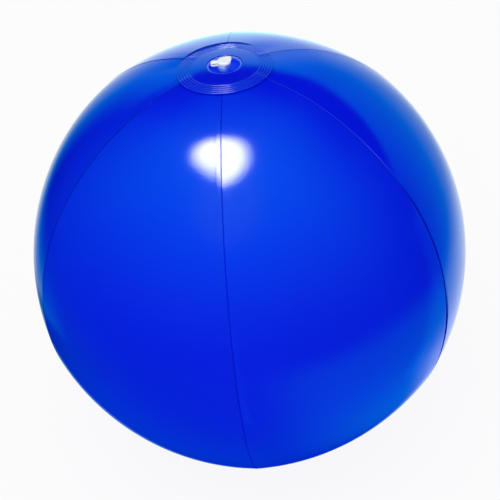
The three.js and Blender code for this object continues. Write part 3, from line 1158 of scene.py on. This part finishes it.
def skirt_material(finish):
    """Thin tinted vinyl of the valve's skirt, with faint mould flow and a paler lip that is a painted
    sheen.
    """
    material = bpy.data.materials.new("skirt_vinyl_tinted")
    board = NodeBoard(material)
    place = board.place()
    flow = board.noise(place, scale=240.0, detail=4.0)
    grain = board.noise(place, scale=1800.0, detail=2.0)
    body = board.mixed(flow, four(finish.skirt_colour, 0.9), four(finish.skirt_colour, 1.08))
    # Painted sheen: the lip takes on the stem's paler colour
    body = board.mixed(board.marked("lip") * LIP_PAINTED_SHEEN, body, four(finish.stem_colour))
    roughness = 0.18 + flow * 0.08
    normal = board.bumped(grain, strength=0.12, distance=0.0002)
    sockets = {"Base Color": body, "Roughness": roughness, "IOR": 1.5, "Normal": normal}
    board.show(board.output(PRINCIPLED, sockets))
    return material


def moulded_material(name, rgb, roughness, depth, foot_rgb):
    """Moulded vinyl that lets a little light in, with faint flow and a fine mould grain.

    Below the mouth of the tube it takes on the colour of its foot, and near the mouth its right side
    does too, as painted shade.
    """
    material = bpy.data.materials.new(name)
    board = NodeBoard(material)
    place = board.place()
    flow = board.noise(place, scale=320.0, detail=4.0)
    grain = board.noise(place, scale=2600.0, detail=2.0)
    body = board.mixed(flow, four(rgb, 0.95), four(rgb, 1.03))
    across, _, height = board.axes(place)
    mouth = board.stepped(height, *(STEM_HIGH.z - drop for drop in MOUTH_FADE))
    # Painted shade: the right side of the stem near its mouth takes on the foot's deeper blue
    right = board.stepped(across, *RIGHT_SHADE_SPREAD)
    body = board.mixed(mouth * (1.0 - RIGHT_PAINTED_SHADE * right), four(foot_rgb), body)
    sockets = {
        "Base Color": body,
        "Roughness": roughness + flow * 0.12,
        "IOR": 1.48,
        "Subsurface Weight": 0.35,
        "Subsurface Radius": (0.5, 0.7, 1.0),
        "Subsurface Scale": depth,
        "Normal": board.bumped(grain, strength=0.15, distance=0.0002),
    }
    board.show(board.output(PRINCIPLED, sockets))
    return material


def stem_material(finish):
    """Milky vinyl of the tube, which turns to the skirt's colour lower down."""
    rgb = finish.stem_colour
    return moulded_material("stem_vinyl_milky", rgb, 0.22, 0.002, finish.skirt_colour)


def vinyl_material(finish):
    """White vinyl of the stopper, its strap, the leaf and the flange."""
    rgb = finish.vinyl_colour
    return moulded_material("valve_vinyl_white", rgb, 0.3, 0.0012, rgb)


FINISH_MAKERS = {
    "ball_film": film_material,
    "skirt_vinyl": skirt_material,
    "stem_vinyl": stem_material,
    "valve_vinyl": vinyl_material,
}
MADE_FINISHES = {}


def finish_piece(piece, slot, *nodes):
    """Gives a piece the material of its slot, and hides the solids it stands for."""
    if slot not in MADE_FINISHES:
        MADE_FINISHES[slot] = FINISH_MAKERS[slot](bpy.context.scene.ball_finishes)
    piece.data.materials.append(MADE_FINISHES[slot])
    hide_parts(*nodes)
    return piece


# Operators


class BALL_OT_gores(Operator):
    """Build the six film gores, each welded over the next."""

    bl_idname = "beach_ball.gores"
    bl_label = "Gores"

    def execute(self, context):
        skin = Skin(context.scene.ball_skin)
        for number, node in enumerate(GORE_NODES):
            piece = build_gore(skin, number)
            finish_piece(piece, "ball_film", node)
            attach(piece, "ball")
        return {"FINISHED"}


class BALL_OT_discs(Operator):
    """Build the ringed disc at each pole."""

    bl_idname = "beach_ball.discs"
    bl_label = "End discs"

    def execute(self, context):
        skin = Skin(context.scene.ball_skin)
        crown = build_crown_disc(skin)
        base = build_base_disc(skin)
        for piece, node in ((crown, "crown_disc"), (base, "base_disc")):
            finish_piece(piece, "ball_film", node)
            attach(piece, "ball")
        return {"FINISHED"}


class BALL_OT_valve_seat(Operator):
    """Build the flange under the upper disc and the soft skirt of the well."""

    bl_idname = "beach_ball.valve_seat"
    bl_label = "Valve seat"

    def execute(self, context):
        valve = context.scene.ball_valve
        skin = Skin(context.scene.ball_skin)
        flange = build_flange(skin, valve)
        finish_piece(flange, "valve_vinyl", "valve_flange")
        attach(flange, "ball")
        skirt = build_skirt(skin, valve)
        finish_piece(skirt, "skirt_vinyl", "valve_skirt")
        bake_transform(skirt)
        return {"FINISHED"}


class BALL_OT_valve_stem(Operator):
    """Build the tube of the valve and the leaf that closes it from inside."""

    bl_idname = "beach_ball.valve_stem"
    bl_label = "Valve stem"

    def execute(self, context):
        valve = context.scene.ball_valve
        stem = build_stem(valve)
        finish_piece(stem, "stem_vinyl", "valve_stem")
        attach(stem, "stem")
        flap = build_flap(valve)
        finish_piece(flap, "valve_vinyl", "check_flap")
        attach(flap, "flap")
        return {"FINISHED"}


class BALL_OT_stopper(Operator):
    """Build the stopper and the strap that keeps it on the stem."""

    bl_idname = "beach_ball.stopper"
    bl_label = "Stopper"

    def execute(self, context):
        valve = context.scene.ball_valve
        plug = build_stopper(valve)
        finish_piece(plug, "valve_vinyl", "stopper")
        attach(plug, "plug")
        strap = build_strap(valve)
        finish_piece(strap, "valve_vinyl", "stopper_strap")
        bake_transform(strap)
        return {"FINISHED"}


# Width of the camera's sensor in millimetres
SENSOR_WIDTH = 36.0

# Place from the ball's centre, and size, of the near soft light and of the panel that gloss mirrors
KEY_PLACE = (-0.03, -0.28, 0.46)
KEY_SIZE = 0.3
PANEL_PLACE = (-0.132, -0.152, 1.1)
PANEL_SIZE = 0.7

# How that panel fades at its edge, in parts of its half width, and how its round is drawn in ahead
PANEL_EDGE = (0.5, 0.98)
PANEL_STRETCH = 1.05
PANEL_SHIFT = 0.05

# Direction in the panel of the side that is cut off, and how far along it the light ends
CUT_ACROSS = 0.72
CUT_AHEAD = 0.69
PANEL_CUT = (0.15, 0.7)

# How much less red than blue the panel gives
PANEL_RED_LOSS = 0.02

# Half the floor's width, and how far it shows plain white to the camera
FLOOR_HALF = 4.0
FLOOR_WHITENESS = 0.9

# Each pair of the room's light holds the values between which an effect comes or goes: the X, Y or Z
# of the direction that the light comes from, or, across and up the sweep, its X or Z divided by its Y

# Light on matt surfaces: where it is stronger low in front, and what is missing from the floor
FRONT_SPREAD = (0.0, 0.8)
FRONT_TOP = (0.1, 0.7)
FLOOR_LOSS = 0.12
FLOOR_SPREAD = (0.0, 0.2)

# Dim room: where its light starts below the horizon, its light low down and what height adds
ROOM_FOOT = 0.35
ROOM_LIGHT = 0.15
HEIGHT_LIGHT = 1.6

# Side on which the room is dark, and how far its ceiling stays lit there
DARK_EAST = 0.25
DARK_NORTH = 0.968
DARK_SPREAD = (-0.3, 0.7)
CEILING_PART = 0.4
CEILING_SPREAD = (0.7, 0.95)

# Pale sweep: the least Y to divide by, its edges, its light, and each loss of it towards the right
LEAST_NORTH = 0.05
SWEEP_FOOT = (-0.88, -0.78)
SWEEP_TOP = (0.56, 0.70)
SWEEP_BACK = (0.0, 0.15)
SWEEP_LEFT = (-1.05, 0.05)
SWEEP_LIGHT = 1.35
SWEEP_LOSSES = ((0.65, (-0.1, 0.5)), (0.4, (0.5, 3.0)))

# Brighter low band in the middle of the sweep
BAND_LIGHT = 0.35
BAND_LEFT = (-0.45, -0.2)
BAND_RIGHT = (-0.05, 0.15)
BAND_TOP = (0.1, 0.3)

# Short low strip at the left, and what it loses at its far end
STRIP_LIGHT = 0.42
STRIP_FOOT = (-0.62, -0.56)
STRIP_TOP = (-0.5, -0.25)
STRIP_BACK = (0.1, 0.3)
STRIP_RIGHT = (0.3, 0.5)
STRIP_LOSS = 0.7
STRIP_LEFT = (0.6, 0.85)

# Light floor at the right
RIGHT_LIGHT = 0.45
RIGHT_SPREAD = (0.0, 0.5)
RIGHT_TOP = (-0.58, -0.33)

# Red is in the light only far behind and below, and low down there is more blue
RED_LOSS = 1.546
RED_GAIN = 1.5
RED_EAST = -0.093
RED_NORTH = 0.76
RED_UP = -0.643
LOW_BLUE = 0.45
LOW_BLUE_SPREAD = (0.62, 0.8)


def add_camera(stage):
    """Camera at the photograph's angle, turned about its own view axis."""
    centre = Vector((0.0, 0.0, CENTRE_HEIGHT))
    east = math.sin(stage.camera_azimuth)
    south = math.cos(stage.camera_azimuth)
    level = math.cos(stage.camera_elevation)
    rise = math.sin(stage.camera_elevation)
    back = Vector((level * east, -level * south, rise))
    right = Vector((south, east, 0.0))
    up = back.cross(right)
    lean = Matrix.Rotation(-stage.camera_roll, 3, back)
    right = lean @ right
    up = lean @ up
    turn = Matrix((right, up, back)).transposed().to_4x4()
    data = bpy.data.cameras.new("camera")
    data.lens = stage.camera_lens
    data.sensor_width = SENSOR_WIDTH
    camera = bpy.data.objects.new("camera", data)
    camera.matrix_world = Matrix.Translation(centre + back * stage.camera_distance) @ turn
    bpy.context.scene.collection.objects.link(camera)
    bpy.context.scene.camera = camera


def add_lamp(name, power, place, size):
    """Round soft lamp that shines at the ball's centre and isn't seen itself."""
    data = bpy.data.lights.new(name, "AREA")
    data.shape = "DISK"
    data.size = size
    data.energy = power
    lamp = bpy.data.objects.new(name, data)
    outward = Vector(place).normalized()
    right = Vector((0.0, 1.0, 0.0)).cross(outward).normalized()
    turn = Matrix((right, outward.cross(right), outward)).transposed().to_4x4()
    centre = Vector((0.0, 0.0, CENTRE_HEIGHT))
    lamp.matrix_world = Matrix.Translation(centre + Vector(place)) @ turn
    lamp.visible_camera = False
    bpy.context.scene.collection.objects.link(lamp)
    return lamp


def soften_panel(data):
    """Fades a panel's light towards its edge, and cuts off its near left side."""
    board = NodeBoard(data)
    spot = board.node("ShaderNodeNewGeometry", {}, {}).outputs["Parametric"]
    across, ahead = (part * 2.0 - 1.0 for part in board.axes(spot)[:2])
    drawn_in = ahead * PANEL_STRETCH - PANEL_SHIFT
    from_middle = (across * across + drawn_in * drawn_in) ** 0.5
    round_part = 1.0 - board.stepped(from_middle, *PANEL_EDGE)
    cut = 1.0 - board.stepped(across * -CUT_ACROSS - ahead * CUT_AHEAD, *PANEL_CUT)
    cool = round_part * cut
    tint = board.tinted(board.clipped(cool - PANEL_RED_LOSS), cool, cool)
    shader = board.output("ShaderNodeEmission", {"Color": tint, "Strength": 1.0})
    board.node("ShaderNodeOutputLight", {}, {"Surface": shader})


def add_lights(stage):
    """A near soft light above the front, and the panel that gloss mirrors."""
    add_lamp("key", stage.key_power, KEY_PLACE, KEY_SIZE).visible_glossy = False
    panel = add_lamp("gloss_panel", stage.gloss_power, PANEL_PLACE, PANEL_SIZE)
    panel.visible_diffuse = False
    soften_panel(panel.data)


def soft_light(board, stage, north, up):
    """Even light for matt surfaces, a little stronger from low in front."""
    low = 1.0 - board.stepped(up, *FRONT_TOP)
    low_front = board.stepped(north * -1.0, *FRONT_SPREAD) * low
    bounce = 1.0 - FLOOR_LOSS * board.stepped(up * -1.0, *FLOOR_SPREAD)
    level = stage.ambient * (1.0 + stage.front_fill * low_front) * bounce
    return board.tinted(level, level, level)


def room_glow(board, east, north, up):
    """Dim room that is lit from above and is darkest behind."""
    height = board.clipped((up + ROOM_FOOT) / (1.0 + ROOM_FOOT))
    dark = board.stepped(north * DARK_NORTH + east * DARK_EAST, *DARK_SPREAD)
    dark = dark * (1.0 - CEILING_PART * board.stepped(up, *CEILING_SPREAD))
    return (ROOM_LIGHT + HEIGHT_LIGHT * height * height) * (1.0 - dark)


def pale_sweep(board, east, north, up):
    """Pale sweep that stands behind the ball, weaker to the right and brightest in its middle."""
    sockets = {0: north, 1: LEAST_NORTH}
    away = board.value("ShaderNodeMath", {"operation": "MAXIMUM"}, sockets, 0)
    rise = up / away
    across = east / away
    upright = board.stepped(up, *SWEEP_FOOT) * (1.0 - board.stepped(rise, *SWEEP_TOP))
    level = SWEEP_LIGHT
    for loss, spread in SWEEP_LOSSES:
        level = level - loss * board.stepped(across, *spread)
    behind = board.stepped(north, *SWEEP_BACK) * board.stepped(across, *SWEEP_LEFT)
    band = board.stepped(across, *BAND_LEFT) * (1.0 - board.stepped(across, *BAND_RIGHT))
    band = band * (1.0 - board.stepped(rise, *BAND_TOP))
    return (level * behind + BAND_LIGHT * band) * upright


def low_left_glow(board, east, north, up):
    """Short low strip of light to the left behind the ball."""
    west = east * -1.0
    strip = board.stepped(up, *STRIP_FOOT) * (1.0 - board.stepped(up, *STRIP_TOP))
    strip = strip * board.stepped(north, *STRIP_BACK) * board.stepped(west, *STRIP_RIGHT)
    return STRIP_LIGHT * strip * (1.0 - STRIP_LOSS * board.stepped(west, *STRIP_LEFT))


def gloss_surroundings(board, east, north, up):
    """What gloss mirrors: a dim room with a pale sweep behind and a light floor at the right."""
    floor = RIGHT_LIGHT * board.stepped(east, *RIGHT_SPREAD)
    floor = floor * (1.0 - board.stepped(up, *RIGHT_TOP))
    cool = room_glow(board, east, north, up) + floor + pale_sweep(board, east, north, up)
    cool = cool + low_left_glow(board, east, north, up)
    grazing = north * RED_NORTH + east * RED_EAST + up * RED_UP
    warm = board.clipped(cool - RED_LOSS + grazing * RED_GAIN)
    blue = cool + LOW_BLUE * board.stepped(up * -1.0, *LOW_BLUE_SPREAD)
    return board.tinted(warm, cool, blue)


def add_room(stage):
    """White for the camera, even light for matt surfaces, and the surroundings for gloss."""
    world = bpy.data.worlds.new("room")
    bpy.context.scene.world = world
    board = NodeBoard(world)
    path = board.node("ShaderNodeLightPath", {}, {}).outputs
    direction = board.node("ShaderNodeTexCoord", {}, {}).outputs["Generated"]
    east, north, up = board.axes(direction)
    lit = board.mixed(path["Is Diffuse Ray"], BLACK, soft_light(board, stage, north, up))
    mirrored = gloss_surroundings(board, east, north, up)
    lit = board.mixed(path["Is Glossy Ray"], lit, mirrored)
    looked_at = Value(board, path["Is Camera Ray"]) + Value(board, path["Is Transmission Ray"])
    shown = board.mixed(looked_at, lit, WHITE)
    background = board.output("ShaderNodeBackground", {"Color": shown, "Strength": 1.0})
    board.node("ShaderNodeOutputWorld", {}, {"Surface": background})


def add_floor(stage):
    """Wide pale floor that shows white to the camera and keeps a faint shadow."""
    half = FLOOR_HALF
    mesh = bpy.data.meshes.new("floor")
    corners = [(-half, -half, 0.0), (half, -half, 0.0), (half, half, 0.0), (-half, half, 0.0)]
    mesh.from_pydata(corners, [], [(0, 1, 2, 3)])
    floor = bpy.data.objects.new("floor", mesh)
    bpy.context.scene.collection.objects.link(floor)
    material = bpy.data.materials.new("floor_paper")
    board = NodeBoard(material)
    fibre = board.noise(board.place(), scale=90.0, detail=5.0)
    tone = board.mixed(fibre, four(stage.floor_colour, 0.985), four(stage.floor_colour))
    sockets = {"Base Color": tone, "Roughness": 0.9, "Specular IOR Level": 0.0}
    paper = board.output(PRINCIPLED, sockets)
    glow = board.output("ShaderNodeEmission", {"Color": WHITE, "Strength": 1.0})
    path = board.node("ShaderNodeLightPath", {}, {}).outputs
    seen = Value(board, path["Is Camera Ray"]) * FLOOR_WHITENESS
    board.show(board.output("ShaderNodeMixShader", {0: seen, 1: paper, 2: glow}))
    mesh.materials.append(material)
    floor.visible_glossy = False
    floor.visible_diffuse = False


class BALL_OT_stage(Operator):
    """Set up the camera, the floor and the studio light."""

    bl_idname = "beach_ball.stage"
    bl_label = "Stage"

    def execute(self, context):
        stage = context.scene.ball_stage
        add_camera(stage)
        add_floor(stage)
        add_lights(stage)
        add_room(stage)
        context.scene.view_settings.view_transform = "Standard"
        return {"FINISHED"}


OPERATORS = (
    BALL_OT_stage,
    BALL_OT_gores,
    BALL_OT_discs,
    BALL_OT_valve_seat,
    BALL_OT_valve_stem,
    BALL_OT_stopper,
)
SETTINGS = {
    "ball_skin": BallSkinSizes,
    "ball_valve": BallValveSizes,
    "ball_finishes": BallFinishes,
    "ball_stage": BallStage,
}


class BALL_PT_sidebar(Panel):
    """Lists the steps that build the ball, and the sizes and colours they use."""

    bl_idname = "BALL_PT_sidebar"
    bl_label = "Beach ball"
    bl_space_type = "VIEW_3D"
    bl_region_type = "UI"
    bl_category = "Beach ball"

    def draw(self, context):
        layout = self.layout
        for operator in OPERATORS:
            layout.operator(operator.bl_idname)
        for name, group in SETTINGS.items():
            box = layout.box()
            settings = getattr(context.scene, name)
            for field in group.__annotations__:
                box.prop(settings, field)


CLASSES = (*SETTINGS.values(), *OPERATORS, BALL_PT_sidebar)


def register():
    for made in CLASSES:
        bpy.utils.register_class(made)
    for name, group in SETTINGS.items():
        setattr(bpy.types.Scene, name, PointerProperty(type=group))


def unregister():
    for name in SETTINGS:
        delattr(bpy.types.Scene, name)
    for made in reversed(CLASSES):
        bpy.utils.unregister_class(made)


def main():
    register()
    bpy.ops.beach_ball.stage()
    bpy.ops.beach_ball.gores()
    bpy.ops.beach_ball.discs()
    bpy.ops.beach_ball.valve_seat()
    bpy.ops.beach_ball.valve_stem()
    bpy.ops.beach_ball.stopper()


if __name__ == "__main__":
    main()
